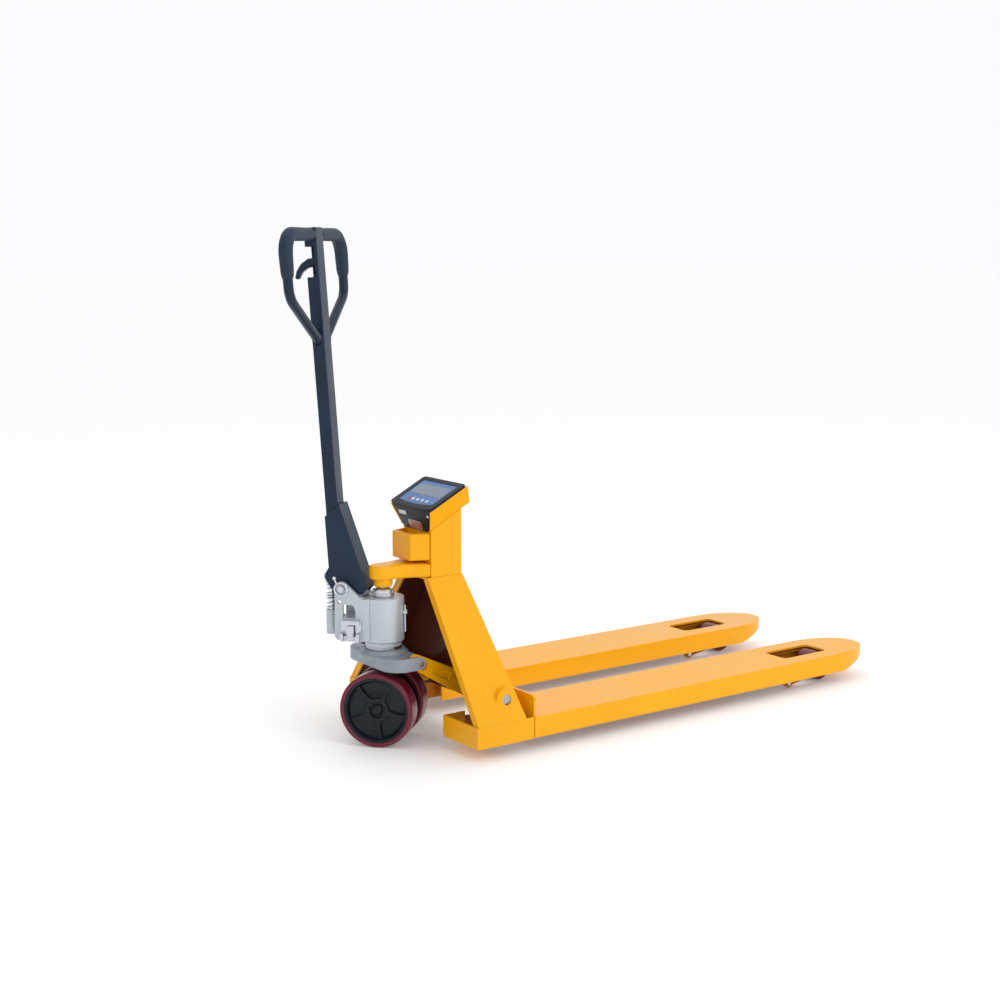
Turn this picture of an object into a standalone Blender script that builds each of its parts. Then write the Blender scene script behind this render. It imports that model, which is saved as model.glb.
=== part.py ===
"""Hand pallet truck with a weigh indicator.

The truck stands on its wheels with the forks lowered and the steering unit turned to one side.
+X runs along the forks to their tips, +Y is the truck's left, +Z is up. Dimensions are in
millimetres from the front face of the feet and become metres when a mesh is made.
"""
import math

import bmesh
import bpy
from mathutils import Euler, Matrix, Vector

MM = 0.001
GAP = 0.3

# Driving dimensions, in millimetres.
X_MID = 509.3
FORK_SPREAD = 575.0
FORK_WIDTH = 180.0
FORK_TOP = 82.0
FORK_BOTTOM = 31.0
FORK_START = 165.0
FORK_TIP = 1355.0
NOSE_LENGTH = 150.0
SHELL_WALL = 5.0
FOOT_WIDTH = 143.0
FOOT_TOP = 83.0
FRAME_TOP = 396.0
FRAME_WALL = 6.0
APEX_HALF = 61.0
SHAFT_X = 104.0
SHAFT_Z = 128.0
RAM_X = -73.0
RAM_RADIUS = 18.0
STEER_ANGLE = 49.0
STEER_WHEEL_RADIUS = 90.0
WHEEL_WIDTH = 50.0
WHEEL_OFFSET = 46.0
PIN_REACH = 89.0
PIN_Z = 376.0
HANDLE_LEAN = 3.8
SHAFT_OFFSET = 16.0
LOOP_HALF = 192.0
LOOP_TOP = 832.0
TUBE_RADIUS = 11.5
GRIP_RADIUS = 16.0
ROLLER_RADIUS = 38.0
ROLLER_X = 1190.0
ROLLER_PIVOT_X = 1050.0
ROLLER_PIVOT_Z = 15.0
ROCKER_LEVER = 54.0
ROLLER_LEVER = 46.0
LEVER_LEAN = 20.95
LUG_LEAN = 24.85
LINK_PIN_X = -39.0
LINK_PIN_Z = 205.0
TILT = 27.2
INDICATOR_X = 6.2
INDICATOR_Z = 560.3
FACE_DEPTH = 115.0
FACE_HALF = 89.6

PLUNGER_X = -(PIN_REACH + 40.0)
FORK_Y = (FORK_SPREAD - FORK_WIDTH) / 2
SIDES = {"right": -1, "left": 1}


# Set-up -------------------------------------------------------------------------------------

def clear_scene():
    for item in list(bpy.data.objects):
        bpy.data.objects.remove(item, do_unlink=True)


def material(name, colour, roughness, metallic):
    mat = bpy.data.materials.new(name)
    mat.use_nodes = True
    shader = mat.node_tree.nodes["Principled BSDF"]
    shader.inputs["Base Color"].default_value = (*colour, 1.0)
    shader.inputs["Roughness"].default_value = roughness
    shader.inputs["Metallic"].default_value = metallic
    mat.diffuse_color = (*colour, 1.0)
    return mat


clear_scene()
truck_collection = bpy.data.collections.new("pallet_scale")
bpy.context.scene.collection.children.link(truck_collection)

YELLOW = (0.93, 0.45, 0.01)
COATED = (0.035, 0.055, 0.09)
BLACK = (0.012, 0.018, 0.026)
SILVER = (0.56, 0.6, 0.64)
STEEL = (0.42, 0.44, 0.46)
BURGUNDY = (0.19, 0.02, 0.04)


def joint_empty(name, parent, origin, rotation=(0, 0, 0)):
    """An empty on a joint's axis; origin is in millimetres in its parent's frame."""
    empty = bpy.data.objects.new(name, None)
    empty.empty_display_size = 0.03
    empty.location = Vector(origin) * MM
    empty.rotation_euler = Euler([math.radians(angle) for angle in rotation])
    empty.parent = parent
    truck_collection.objects.link(empty)
    return empty


# Shape helpers: each takes millimetres and returns a mesh object -----------------------------

def mesh_object(name, bm):
    mesh = bpy.data.meshes.new(name)
    bmesh.ops.recalc_face_normals(bm, faces=bm.faces)
    bm.to_mesh(mesh)
    bm.free()
    obj = bpy.data.objects.new(name, mesh)
    truck_collection.objects.link(obj)
    return obj


def baked(obj):
    """Replace an object by the mesh that its modifiers or its curve give."""
    depsgraph = bpy.context.evaluated_depsgraph_get()
    mesh = bpy.data.meshes.new_from_object(obj.evaluated_get(depsgraph))
    mesh.transform(obj.matrix_world)
    bm = bmesh.new()
    bm.from_mesh(mesh)
    bmesh.ops.remove_doubles(bm, verts=bm.verts, dist=0.00001)
    name = obj.name
    bpy.data.objects.remove(obj, do_unlink=True)
    return mesh_object(name, bm)


def round_edges(obj, width, segments=2, angle=40.0):
    bevel = obj.modifiers.new("round", "BEVEL")
    bevel.width = width * MM
    bevel.segments = segments
    bevel.limit_method = "ANGLE"
    bevel.angle_limit = math.radians(angle)
    bevel.use_clamp_overlap = True
    return baked(obj)


def frustum(name, bottom, top):
    """A slab between two level rectangles, each given as (x0, x1, y0, y1, z)."""
    bm = bmesh.new()
    bmesh.ops.create_cube(bm, size=2.0)
    for vert in bm.verts:
        x0, x1, y0, y1, z = top if vert.co.z > 0 else bottom
        x = x1 if vert.co.x > 0 else x0
        y = y1 if vert.co.y > 0 else y0
        vert.co = Vector((x, y, z)) * MM
    return mesh_object(name, bm)


def box(name, x, y, z):
    return frustum(name, (*x, *y, z[0]), (*x, *y, z[1]))


def cylinder(name, start, end, radius, end_radius=None, segments=20):
    start = Vector(start) * MM
    end = Vector(end) * MM
    along = end - start
    turn = along.to_track_quat("Z", "Y").to_matrix().to_4x4()
    bm = bmesh.new()
    bmesh.ops.create_cone(
        bm, cap_ends=True, segments=segments, radius1=radius * MM,
        radius2=(radius if end_radius is None else end_radius) * MM, depth=along.length,
        matrix=Matrix.Translation((start + end) / 2) @ turn)
    return mesh_object(name, bm)


def turned(name, profile, centre=(0, 0, 0), axis="Z", segments=24, ring=False):
    """A turned shape: the profile is (radius, height) points from the top down the outside."""
    mesh = bpy.data.meshes.new(name)
    points = [(radius * MM, 0.0, height * MM) for radius, height in profile]
    edges = [(i, i + 1) for i in range(len(points) - 1)]
    if ring:
        edges.append((len(points) - 1, 0))
    mesh.from_pydata(points, edges, [])
    obj = bpy.data.objects.new(name, mesh)
    truck_collection.objects.link(obj)
    screw = obj.modifiers.new("turn", "SCREW")
    screw.steps = segments
    screw.render_steps = segments
    screw.use_merge_vertices = True
    screw.merge_threshold = 0.00001
    obj.location = Vector(centre) * MM
    turns = {"Z": (0, 0, 0), "Y": (-math.pi / 2, 0, 0), "-Y": (math.pi / 2, 0, 0),
             "X": (0, math.pi / 2, 0)}
    obj.rotation_euler = turns[axis]
    bpy.context.view_layer.update()
    return baked(obj)


def arc(x, y, radius, start, end, steps=8):
    """Points on a circle from one angle to another, in degrees."""
    points = []
    for step in range(steps + 1):
        angle = math.radians(start + (end - start) * step / steps)
        points.append((x + radius * math.cos(angle), y + radius * math.sin(angle)))
    return points


def plate(name, plane, outline, span, holes=()):
    """A flat outline extruded across its plane; span is the (low, high) of its thickness."""
    curve = bpy.data.curves.new(name, "CURVE")
    curve.dimensions = "2D"
    curve.fill_mode = "BOTH"
    curve.extrude = (span[1] - span[0]) / 2 * MM
    for loop in (outline, *holes):
        spline = curve.splines.new("POLY")
        spline.points.add(len(loop) - 1)
        for point, (x, y) in zip(spline.points, loop):
            point.co = (x * MM, y * MM, 0.0, 1.0)
        spline.use_cyclic_u = True
    obj = bpy.data.objects.new(name, curve)
    truck_collection.objects.link(obj)
    middle = (span[0] + span[1]) / 2 * MM
    frames = {
        "XY": Matrix(((1, 0, 0, 0), (0, 1, 0, 0), (0, 0, 1, middle), (0, 0, 0, 1))),
        "XZ": Matrix(((1, 0, 0, 0), (0, 0, -1, middle), (0, 1, 0, 0), (0, 0, 0, 1))),
        "YZ": Matrix(((0, 0, 1, middle), (1, 0, 0, 0), (0, 1, 0, 0), (0, 0, 0, 1))),
    }
    obj.matrix_world = frames[plane]
    bpy.context.view_layer.update()
    return baked(obj)


def tube(name, points, radius, resolution=4):
    curve = bpy.data.curves.new(name, "CURVE")
    curve.dimensions = "3D"
    curve.bevel_depth = radius * MM
    curve.bevel_resolution = resolution
    curve.use_fill_caps = True
    spline = curve.splines.new("POLY")
    spline.points.add(len(points) - 1)
    for point, place in zip(spline.points, points):
        point.co = (*(Vector(place) * MM), 1.0)
    obj = bpy.data.objects.new(name, curve)
    truck_collection.objects.link(obj)
    return baked(obj)


def combine(operation, base, others):
    for other in others:
        boolean = base.modifiers.new("combine", "BOOLEAN")
        boolean.operation = operation
        boolean.solver = "EXACT"
        boolean.object = other
        base = baked(base)
        bpy.data.objects.remove(other, do_unlink=True)
    return base


def joined(base, *others):
    return combine("UNION", base, others)


def cut(base, *others):
    return combine("DIFFERENCE", base, others)


def finish(obj, name, mat, parent, origin=(0, 0, 0)):
    """Name a piece, give it its material and hang it on its body's empty."""
    obj.name = name
    obj.data.name = name
    obj.data.transform(Matrix.Translation(-Vector(origin) * MM))
    obj.data.materials.clear()
    obj.data.materials.append(mat)
    obj.parent = parent
    return obj


def rounded_path(points, radius, steps=6):
    """Replace the inner corners of a 3D path by arcs of one radius."""
    path = [Vector(points[0])]
    for before, corner, after in zip(points, points[1:], points[2:]):
        corner = Vector(corner)
        inward = (Vector(before) - corner).normalized()
        outward = (Vector(after) - corner).normalized()
        half = inward.angle(outward) / 2
        reach = radius / math.tan(half)
        centre = corner + (inward + outward).normalized() * (radius / math.sin(half))
        start = corner + inward * reach - centre
        end = corner + outward * reach - centre
        start.normalize()
        end.normalize()
        for step in range(steps + 1):
            path.append(centre + start.slerp(end, step / steps) * radius)
    path.append(Vector(points[-1]))
    return path


# Empties on the joints' axes -----------------------------------------------------------------

truck = joint_empty("truck", None, (-X_MID, 0, 0))
rocker_axis = joint_empty("rocker_axis", truck, (SHAFT_X, 0, SHAFT_Z))
lift_axis = joint_empty("lift_axis", truck, (RAM_X, 0, 0))
steer_axis = joint_empty("steer_axis", lift_axis, (0, 0, 0), (0, 0, -STEER_ANGLE))
handle_axis = joint_empty("handle_axis", steer_axis, (-PIN_REACH, 0, PIN_Z), (0, -HANDLE_LEAN, 0))

# Weigh forks ---------------------------------------------------------------------------------

def fork_outline(half, start, tip):
    """Plan of a fork: straight sides and a half-ellipse nose."""
    nose = tip - NOSE_LENGTH
    ellipse = []
    for x, y in arc(0, 0, 1.0, -90, 90, 14):
        ellipse.append((nose + (tip - nose) * x, half * y))
    return [(start, -half), *ellipse, (start, half)]


def moved(outline, dy):
    return [(x, y + dy) for x, y in outline]


def weigh_shell(side, sign):
    """The cover that carries the pallet: a folded tray upside down on four load cells."""
    y = sign * FORK_Y
    half = FORK_WIDTH / 2
    shell = plate("shell", "XY", moved(fork_outline(half, FORK_START, FORK_TIP), y),
                  (FORK_BOTTOM, FORK_TOP))
    shell = round_edges(shell, 6.0, 2)
    inner = fork_outline(half - SHELL_WALL, FORK_START - 20, FORK_TIP - SHELL_WALL)
    hollow = plate("hollow", "XY", moved(inner, y), (FORK_BOTTOM - 20, FORK_TOP - SHELL_WALL))
    ramp = frustum("ramp", (1195, FORK_TIP + 20, y - 100, y + 100, FORK_BOTTOM - 40),
                   (1195, FORK_TIP + 20, y - 100, y + 100, FORK_BOTTOM - 7))
    for vert in ramp.data.vertices:
        if vert.co.z > (FORK_BOTTOM - 10) * MM and vert.co.x > FORK_TIP * MM:
            vert.co.z += 46 * MM
    window = plate("window", "XY", moved(rounded_rectangle(1044, 1204, -40, 40, 14), y),
                   (FORK_TOP - 12, FORK_TOP + 12))
    shell = cut(shell, hollow, ramp, window)
    stop_outline = [(y - 84, 78), (y + 84, 78), (y + 84, 126), (y + 76, 134),
                    (y - 76, 134), (y - 84, 126)]
    stop = plate("stop", "YZ", stop_outline, (FORK_START + 0.5, FORK_START + 7))
    shell = joined(shell, stop)
    mat = material(f"weigh_shell_{side}", YELLOW, 0.26, 0.0)
    return finish(shell, f"weigh_shell_{side}", mat, truck)


def rounded_rectangle(x0, x1, y0, y1, radius, steps=4):
    points = arc(x1 - radius, y1 - radius, radius, 0, 90, steps)
    points += arc(x0 + radius, y1 - radius, radius, 90, 180, steps)
    points += arc(x0 + radius, y0 + radius, radius, 180, 270, steps)
    points += arc(x1 - radius, y0 + radius, radius, 270, 360, steps)
    return points


CELL_X = (300.0, 930.0)
CELL_OFFSET = 31.0


def lower_fork(side, sign):
    """The channel under the shell, open below, with the bracket that holds the roller fork."""
    y = sign * FORK_Y
    channel = box("channel", (62, 1245), (y - 58, y + 58), (34, 70))
    inside = box("inside", (40, 1239), (y - 53, y + 53), (20, 65))
    slot = box("slot", (1006, 1234), (y - 46, y + 46), (60, 80))
    rear = box("rear", (40, 212), (y - 46, y + 46), (60, 80))
    channel = cut(channel, inside, slot, rear)
    for x in CELL_X:
        hole = cylinder("hole", (x + 50, y + sign * CELL_OFFSET, 60),
                        (x + 50, y + sign * CELL_OFFSET, 80), 9, segments=16)
        channel = cut(channel, hole)
    for low, high in ((-51, -45), (45, 51)):
        outline = [(975, 67), (1005, 67), (ROLLER_PIVOT_X + 11, 26)]
        outline += arc(ROLLER_PIVOT_X, ROLLER_PIVOT_Z, 12, 40, -140, 6)
        bore = arc(ROLLER_PIVOT_X, ROLLER_PIVOT_Z, 6.4, 0, 330, 11)
        lug = plate("lug", "XZ", outline, (y + low, y + high), (bore,))
        channel = joined(channel, lug)
    mat = material(f"lower_fork_{side}", YELLOW, 0.35, 0.0)
    return finish(channel, f"lower_fork_{side}", mat, truck)


def load_cell(side, sign, index, x):
    """A shear-beam cell under the channel's roof, with the stud that carries the shell."""
    y = sign * (FORK_Y + CELL_OFFSET)
    beam = box("beam", (x - 65, x + 65), (y - 13, y + 13), (39, 65 - GAP))
    stud = cylinder("stud", (x + 50, y, 60), (x + 50, y, FORK_TOP - SHELL_WALL - GAP), 7,
                    segments=16)
    cell = joined(beam, stud)
    name = f"load_cell_{side}_{index}"
    return finish(cell, name, material(name, SILVER, 0.35, 0.9), truck)


# Roller forks and the rods that swing them ---------------------------------------------------

def roller_fork(side, sign, parent):
    """Two cheeks, a cross web and the lug that the push rod turns."""
    y = sign * FORK_Y
    origin = (ROLLER_PIVOT_X, y, ROLLER_PIVOT_Z)
    outline = arc(ROLLER_PIVOT_X, ROLLER_PIVOT_Z, 11, 99, 279, 6)
    outline += arc(ROLLER_X, ROLLER_RADIUS, 13, -81, 99, 6)
    holes = (arc(ROLLER_PIVOT_X, ROLLER_PIVOT_Z, 6.4, 0, 330, 11),
             arc(ROLLER_X, ROLLER_RADIUS, 8.4, 0, 330, 11))
    cheeks = [plate("cheek", "XZ", outline, (y + low, y + high), holes)
              for low, high in ((-43, -38), (38, 43))]
    web = box("web", (1078, 1088), (y - 39, y + 39), (12, 33))
    angle = math.radians(LUG_LEAN)
    lug_x = ROLLER_PIVOT_X - ROLLER_LEVER * math.sin(angle)
    lug_z = ROLLER_PIVOT_Z + ROLLER_LEVER * math.cos(angle)
    ear = arc(lug_x, lug_z, 9, 65, 245, 5)
    ear += [(1066, 14), (1086, 14), (1086, 30)]
    ears = [plate("ear", "XZ", ear, (y + low, y + high)) for low, high in ((-17, -9), (9, 17))]
    pin = cylinder("pin", (lug_x, y - 16, lug_z), (lug_x, y + 16, lug_z), 5, segments=14)
    fork = joined(cheeks[0], web, cheeks[1], ears[0], ears[1], pin)
    mat = material(f"roller_fork_{side}", YELLOW, 0.4, 0.0)
    return finish(fork, f"roller_fork_{side}", mat, parent, origin)


def roller_parts(side, sign, parent, spin):
    y = sign * FORK_Y
    origin = (ROLLER_PIVOT_X, y, ROLLER_PIVOT_Z)
    pivot = cylinder("pivot", (ROLLER_PIVOT_X, y - 53, ROLLER_PIVOT_Z),
                     (ROLLER_PIVOT_X, y + 53, ROLLER_PIVOT_Z), 6, segments=16)
    name = f"roller_fork_pin_{side}"
    finish(pivot, name, material(name, STEEL, 0.3, 1.0), parent, origin)
    axle = cylinder("axle", (ROLLER_X, y - 45, ROLLER_RADIUS),
                    (ROLLER_X, y + 45, ROLLER_RADIUS), 8, segments=16)
    name = f"roller_axle_{side}"
    finish(axle, name, material(name, STEEL, 0.3, 1.0), parent, origin)
    profile = [(9, 35), (34, 35), (ROLLER_RADIUS, 31), (ROLLER_RADIUS, -31), (34, -35),
               (9, -35)]
    roller = turned("roller", profile, axis="Y", segments=24, ring=True)
    name = f"load_roller_{side}"
    finish(roller, name, material(name, BURGUNDY, 0.35, 0.0), spin)


def push_rod(side, sign, parent, origin, front):
    """A flat rod with a round eye behind and a tall eye in front, for the open pivot."""
    rear_x, rear_z = origin[0], origin[2]
    front_x, front_z = front
    bar = 9.0
    low_z = 50.0
    outline = arc(rear_x, rear_z, 12, 40, 250, 7)
    outline += [(150, low_z - bar), (front_x - 30, low_z - bar + 2)]
    outline += arc(front_x, front_z - 2, 11, 225, 360, 6)
    outline += arc(front_x, front_z + 7, 11, 0, 120, 6)
    outline += [(front_x - 34, low_z + bar), (172, low_z + bar)]
    slot = arc(front_x, front_z, 5.6, 180, 360, 6) + arc(front_x, front_z + 8.5, 5.6, 0, 180, 6)
    eye = arc(rear_x, rear_z, 5.6, 0, 330, 11)
    y = sign * FORK_Y
    rod = plate("rod", "XZ", outline, (y - 6, y + 6), (eye, slot))
    name = f"push_rod_{side}"
    return finish(rod, name, material(name, STEEL, 0.45, 0.8), parent, origin)


# Base rocker: torsion shaft, lift arms -------------------------------------------------------

def base_shaft():
    """A torsion shaft across the truck with a lever and pin over each fork."""
    end = 256.5
    profile = [(0, end), (12, end), (12, 228), (17, 226), (17, -226), (12, -228),
               (12, -end), (0, -end)]
    shaft = turned("shaft", profile, (SHAFT_X, 0, SHAFT_Z), axis="Y")
    angle = math.radians(LEVER_LEAN)
    pin_x = SHAFT_X - ROCKER_LEVER * math.sin(angle)
    pin_z = SHAFT_Z - ROCKER_LEVER * math.cos(angle)
    for sign in SIDES.values():
        lean = 90 - LEVER_LEAN
        outline = arc(pin_x, pin_z, 10, 180 + lean + 90, 180 + lean - 90, 5)
        outline += arc(SHAFT_X, SHAFT_Z, 22, lean + 90, lean - 90, 6)
        low, high = sorted((sign * 206.5, sign * 216))
        lever = plate("lever", "XZ", outline, (low, high))
        pin = cylinder("pin", (pin_x, sign * 188, pin_z), (pin_x, sign * 210, pin_z), 5,
                       segments=14)
        shaft = joined(shaft, lever, pin)
    finish(shaft, "base_shaft", material("base_shaft", STEEL, 0.35, 0.9), rocker_axis,
           (SHAFT_X, 0, SHAFT_Z))


def lift_arm(side, sign):
    """An arm from the torsion shaft to the crosshead; its eye is a slot for the open pivot."""
    dx = LINK_PIN_X - SHAFT_X
    dz = LINK_PIN_Z - SHAFT_Z
    angle = math.degrees(math.atan2(dz, dx))
    ux, uz = math.cos(math.radians(angle)), math.sin(math.radians(angle))
    outline = arc(SHAFT_X, SHAFT_Z, 27, angle - 90, angle - 270, 10)
    outline += arc(LINK_PIN_X + 2 * ux, LINK_PIN_Z + 2 * uz, 18, angle + 90, angle - 90, 8)
    drop = 0.7
    far_x, far_z = LINK_PIN_X - drop * uz, LINK_PIN_Z + drop * ux
    near_x, near_z = far_x - 19.6 * ux, far_z - 19.6 * uz
    slot = arc(far_x, far_z, 11.7, angle + 90, angle - 90, 6)
    slot += arc(near_x, near_z, 11.7, angle - 90, angle - 270, 6)
    bore = arc(SHAFT_X, SHAFT_Z, 17.5, 0, 345, 23)
    low, high = sorted((sign * 84, sign * 96))
    arm = plate("arm", "XZ", outline, (low, high), (slot, bore))
    middle_x = SHAFT_X + 0.52 * dx
    middle_z = SHAFT_Z + 0.52 * dz
    pocket = box("pocket", (-27, 27), (-3, 3), (-9, 9))
    pocket.data.transform(Matrix.Rotation(-math.radians(angle), 4, "Y"))
    pocket.data.transform(Matrix.Translation(Vector((middle_x, sign * 96, middle_z)) * MM))
    arm = cut(arm, pocket)
    name = f"lift_arm_{side}"
    finish(arm, name, material(name, YELLOW, 0.3, 0.0), rocker_axis, (SHAFT_X, 0, SHAFT_Z))


# Frame ---------------------------------------------------------------------------------------

def frame():
    """Two leaning side plates with folded front edges, a back plate and a top plate."""
    low = FOOT_TOP + GAP
    half = FORK_SPREAD / 2
    slope = (half - APEX_HALF) / (FRAME_TOP - low)
    parts = []
    for sign in SIDES.values():
        y0, y1 = sorted((sign * half, sign * (half - FRAME_WALL)))
        t0, t1 = sorted((sign * APEX_HALF, sign * (APEX_HALF - FRAME_WALL)))
        parts.append(frustum("side", (4, 141, y0, y1, low), (15, 115, t0, t1, FRAME_TOP)))
        y0, y1 = sorted((sign * (half - 0.4), sign * (half - 24)))
        t0, t1 = sorted((sign * (APEX_HALF - 0.4), sign * (APEX_HALF - 24)))
        parts.append(frustum("flange", (4.4, 9, y0, y1, low + 0.4),
                             (15.4, 20, t0, t1, FRAME_TOP - 0.4)))
    parts.append(frustum("back", (136, 140.6, -half + 1, half - 1, low + 0.8),
                         (110, 114.6, -APEX_HALF + 1, APEX_HALF - 1, FRAME_TOP - 0.8)))
    parts.append(box("top", (15.2, 114.8), (-APEX_HALF + 0.6, APEX_HALF - 0.6),
                     (FRAME_TOP - 5, FRAME_TOP - 0.2)))
    for sign in SIDES.values():
        outer = half - (SHAFT_Z - low) * slope
        parts.append(cylinder("boss", (SHAFT_X, sign * (outer - 24), SHAFT_Z),
                              (SHAFT_X, sign * (outer + 3), SHAFT_Z), 29, segments=32))
    body = joined(*parts)
    bores = [cylinder("bore", (SHAFT_X, sign * 200, SHAFT_Z), (SHAFT_X, sign * 300, SHAFT_Z),
                      12 + GAP, segments=28) for sign in SIDES.values()]
    body = cut(body, *bores)
    finish(body, "frame", material("frame", YELLOW, 0.28, 0.0), truck)


def foot(side, sign):
    """The box at the bottom of each side plate: outer, front and inner walls and a floor."""
    outer = FORK_SPREAD / 2
    inner = outer - FOOT_WIDTH
    wall = 5.0
    points = [(0, inner), (60, inner), (60, inner + wall), (wall, inner + wall),
              (wall, outer - wall), (162.4, outer - wall), (162.4, outer), (0, outer)]
    outline = [(x, sign * y) for x, y in points]
    walls = plate("walls", "XY", outline, (FORK_BOTTOM, FOOT_TOP))
    low, high = sorted((sign * (inner + 0.5), sign * (outer - 0.5)))
    floor = box("floor", (0.5, 58), (low, high), (FORK_BOTTOM + 0.3, FORK_BOTTOM + 4))
    body = joined(walls, floor)
    name = f"foot_{side}"
    finish(body, name, material(name, YELLOW, 0.28, 0.0), truck)


def horn():
    """The rounded nose over the pump that takes the ram's push."""
    nose = 31.0
    outline = [(13.5, -58), (-10, -42), (-40, -33), *arc(RAM_X - 3, 0, nose, 265, 95, 12),
               (-40, 33), (-10, 42), (13.5, 58)]
    body = plate("horn", "XY", outline, (396, 430))
    rear = box("rear", (12, 24.4), (-57.5, 57.5), (FRAME_TOP + GAP, 429.5))
    body = round_edges(joined(body, rear), 5.0, 1, 50)
    cup = turned("cup", [(0, 400), (23, 400), (23, 380), (20, 377), (15, 377),
                         (13, 384), (0, 384)], (RAM_X, 0, 0))
    finish(joined(body, cup), "horn", material("horn", YELLOW, 0.28, 0.0), truck)
    ram = turned("ram", [(0, 383.7), (11, 383.7), (12, 376), (RAM_RADIUS, 374),
                         (RAM_RADIUS, 258), (0, 258)], (RAM_X, 0, 0))
    finish(ram, "ram", material("ram", SILVER, 0.12, 1.0), truck)


# Column and indicator ------------------------------------------------------------------------

def tilted(points):
    """Map (along the face, out of the face) pairs onto the tilted indicator's side view."""
    cosine, sine = math.cos(math.radians(TILT)), math.sin(math.radians(TILT))
    return [(INDICATOR_X + along * cosine - out * sine,
             INDICATOR_Z + along * sine + out * cosine) for along, out in points]


def tilt_mesh(obj):
    """Stand a mesh made flat on the indicator's face: x along it, y across, z out of it."""
    obj.data.transform(Matrix.Rotation(-math.radians(TILT), 4, "Y"))
    obj.data.transform(Matrix.Translation(Vector((INDICATOR_X, 0, INDICATOR_Z)) * MM))
    return obj


def column():
    """The square post that carries the indicator, open below and above."""
    front, back = 25.0, 112.0
    top_points = tilted([(20, -52.6), (150, -52.6)])
    slope = (top_points[1][1] - top_points[0][1]) / (top_points[1][0] - top_points[0][0])
    front_z = top_points[0][1] + slope * (front - top_points[0][0])
    back_z = top_points[0][1] + slope * (back - top_points[0][0])
    outer = [(front, FRAME_TOP + GAP), (back, FRAME_TOP + GAP), (back, back_z),
             (front, front_z)]
    body = plate("column", "XZ", outer, (-APEX_HALF, APEX_HALF))
    inside = box("inside", (front + 3, back - 3), (-APEX_HALF + 3, APEX_HALF - 3), (380, 620))
    body = cut(body, inside)
    finish(body, "column", material("column", YELLOW, 0.28, 0.0), truck)


def cradle():
    """A tray with two flared wings that holds the indicator."""
    low, flare_top = -52.0, 86.5
    base = box("base", (20, FACE_DEPTH + 3), (-60, 60), (low, low + 3))
    back_outline = [(-60, low + 1.3), (60, low + 1.3), (81, -10), (-81, -10)]
    back = plate("back", "YZ", back_outline, (FACE_DEPTH + 1.2, FACE_DEPTH + 3.6))
    parts = [base, back]
    for sign in SIDES.values():
        outline = [(-1, -1), (-9, low + 0.6), (FACE_DEPTH + 4.4, low + 0.6),
                   (FACE_DEPTH + 4.4, -1)]
        wing = plate("wing", "XZ", outline, (-1.5, 1.5))
        for vert in wing.data.vertices:
            flare = (flare_top - 60.0) * (1 - vert.co.z / (low * MM))
            vert.co.y += sign * (60.0 + flare) * MM
        parts.append(wing)
    body = tilt_mesh(joined(*parts))
    finish(body, "cradle", material("cradle", YELLOW, 0.28, 0.0), truck)


def indicator():
    """Housing with a tilted face, its frame, keypad and display window."""
    housing = frustum("housing", (3, 98, -52, 52, -48.5), (0, FACE_DEPTH - 4, -80, 80, -0.6))
    housing = tilt_mesh(round_edges(housing, 3.0, 2))
    finish(housing, "indicator_housing", material("indicator_housing", BLACK, 0.4, 0.0), truck)
    outline = rounded_rectangle(0, FACE_DEPTH, -FACE_HALF, FACE_HALF, 9)
    bezel = plate("bezel", "XY", outline, (-GAP, 6))
    panel = keypad_outline()
    pocket = plate("pocket", "XY", panel, (3.5, 10))
    bezel = tilt_mesh(cut(round_edges(bezel, 1.5, 2, 60), pocket))
    finish(bezel, "indicator_bezel", material("indicator_bezel", BLACK, 0.35, 0.0), truck)
    inset = [(x + (0.4 if x < 60 else -0.4), y + (0.4 if y < 0 else -0.4)) for x, y in panel]
    window = [(48, -67), (88, -67), (88, 67), (48, 67)]
    keypad = plate("keypad", "XY", inset, (3.8, 5.0), (window,))
    finish(tilt_mesh(keypad), "keypad", material("keypad", (0.05, 0.16, 0.42), 0.35, 0.0),
           truck)
    glass = box("display", (48.3, 87.7), (-66.7, 66.7), (3.8, 5.2))
    finish(tilt_mesh(glass), "display", material("display", (0.13, 0.17, 0.24), 0.15, 0.0),
           truck)


def keypad_outline():
    """The blue panel: square behind, bowed in front."""
    bow = [(17 - 8 * math.cos(math.radians(angle)) + 2, 73 * angle / 90)
           for angle in range(-90, 91, 15)]
    return [(101, -73), *bow, (101, 73)][::-1]


def printer_box():
    """The small housing in front of the column, and the battery inside the column."""
    outline = [(-22, -40), (24.6, -58), (24.6, 58), (-22, 40)]
    body = round_edges(plate("printer", "XY", outline, (438, 503)), 4.0, 2, 15)
    recess = [(-14, -34), (26, -48), (26, 48), (-14, 34)]
    body = cut(body, plate("recess", "XY", recess, (494, 515)))
    finish(body, "printer_box", material("printer_box", YELLOW, 0.28, 0.0), truck)
    battery = round_edges(box("battery", (34, 103), (-48, 48), (402, 470)), 2.0, 1)
    finish(battery, "battery", material("battery", BLACK, 0.5, 0.0), truck)


# Crosshead -----------------------------------------------------------------------------------

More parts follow.
